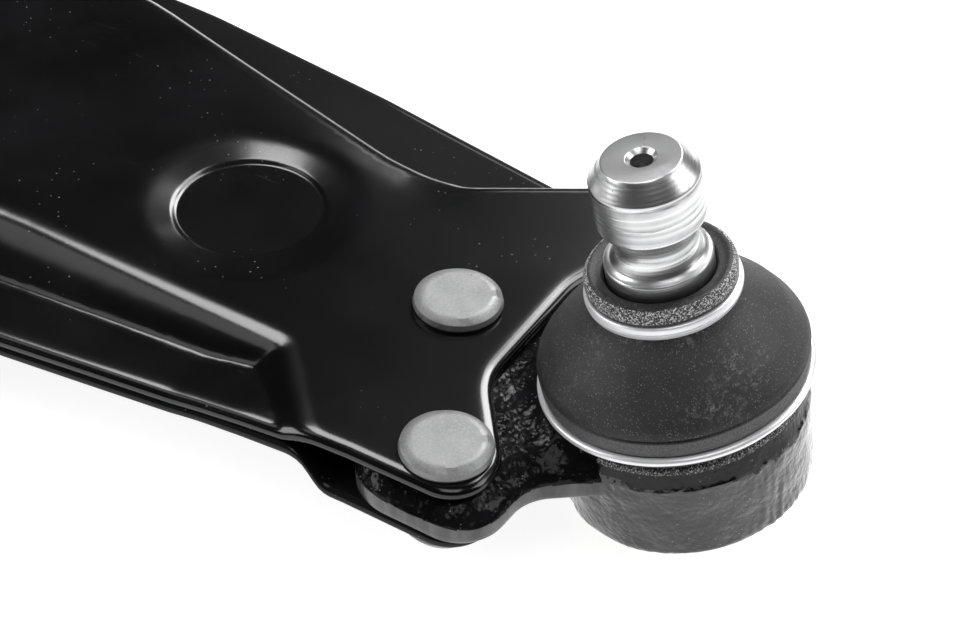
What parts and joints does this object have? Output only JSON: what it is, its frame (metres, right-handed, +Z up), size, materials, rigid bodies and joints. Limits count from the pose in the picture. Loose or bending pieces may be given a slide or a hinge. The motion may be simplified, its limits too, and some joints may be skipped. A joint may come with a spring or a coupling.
{
  "type": "control arm",
  "caption": "Lower control arm of two pressed sheets with a riveted ball joint, a horizontal front bush and an upright rear bush.",
  "frame": {"origin": "centre of the front bush's bolt bore", "axes": "+X along the front bush bore towards the rear of the car, +Y out towards the wheel, +Z up along the rear bush bore"},
  "size_m": [0.3258, 0.4002, 0.0783],
  "materials": {
    "gloss_black_paint": "smooth gloss black dip coat with dust specks and small paint runs",
    "painted_forging": "black paint over a rough, dimpled forged surface",
    "painted_weld": "rippled weld bead under gloss black paint",
    "bare_steel": "turned bare steel with fine tool rings",
    "rivet_steel": "bare grey rivet steel, satin, with a brighter chamfer",
    "plated_steel": "zinc plated steel, satin",
    "cast_aluminium": "machined cast aluminium",
    "bright_ring": "bright spring steel",
    "boot_rubber": "matt dusty rubber with scuffs",
    "bush_rubber": "matt moulded rubber",
    "seat_plastic": "natural acetal"
  },
  "bodies": {
    "arm": {"upper_shell": "gloss_black_paint", "lower_shell": "gloss_black_paint", "front_tube": "gloss_black_paint", "front_bush_sleeve": "plated_steel", "front_bush_rubber": "bush_rubber", "rear_eye": "gloss_black_paint", "rear_bush_sleeve": "plated_steel", "rear_bush_rubber": "bush_rubber", "ball_joint_housing": "painted_forging", "ball_seat": "seat_plastic", "closing_cap": "painted_forging", "boot": "boot_rubber", "boot_bottom_ring": "bright_ring", "rivets": "rivet_steel", "front_tube_weld": "painted_weld", "rear_eye_weld": "painted_weld", "front_seam_weld": "painted_weld", "crotch_seam_weld": "painted_weld", "rear_seam_weld": "painted_weld"},
    "front_bush_core": {"front_bush_inner": "plated_steel"},
    "rear_bush_centre": {"rear_bush_core": "cast_aluminium"},
    "boot_top": {"boot_collar": "boot_rubber", "boot_top_ring": "bright_ring"},
    "stud": {"ball_stud": "bare_steel"}
  },
  "joints": [
    {"name": "ball_joint_tilt", "type": "hinge", "parent": "arm", "child": "boot_top", "pos_m": [0.02457, 0.33586, 0.002], "axis": [0.9952, 0, -0.0976], "range_deg": [-22, 22], "deforming": ["boot"]},
    {"name": "ball_joint_turn", "type": "hinge", "parent": "boot_top", "child": "stud", "pos_m": [0.02457, 0.33586, 0.002], "axis": [0.0958, -0.1908, 0.9769], "continuous": true},
    {"name": "front_bush_twist", "type": "hinge", "parent": "arm", "child": "front_bush_core", "pos_m": [0, 0, 0], "axis": [1, 0, 0], "range_deg": [-20, 20], "stiffness_Nm_per_rad": 40},
    {"name": "rear_bush_tilt", "type": "hinge", "parent": "arm", "child": "rear_bush_centre", "pos_m": [0.25, 0, 0], "axis": [1, 0, 0], "range_deg": [-10, 10], "stiffness_Nm_per_rad": 60}
  ]
}
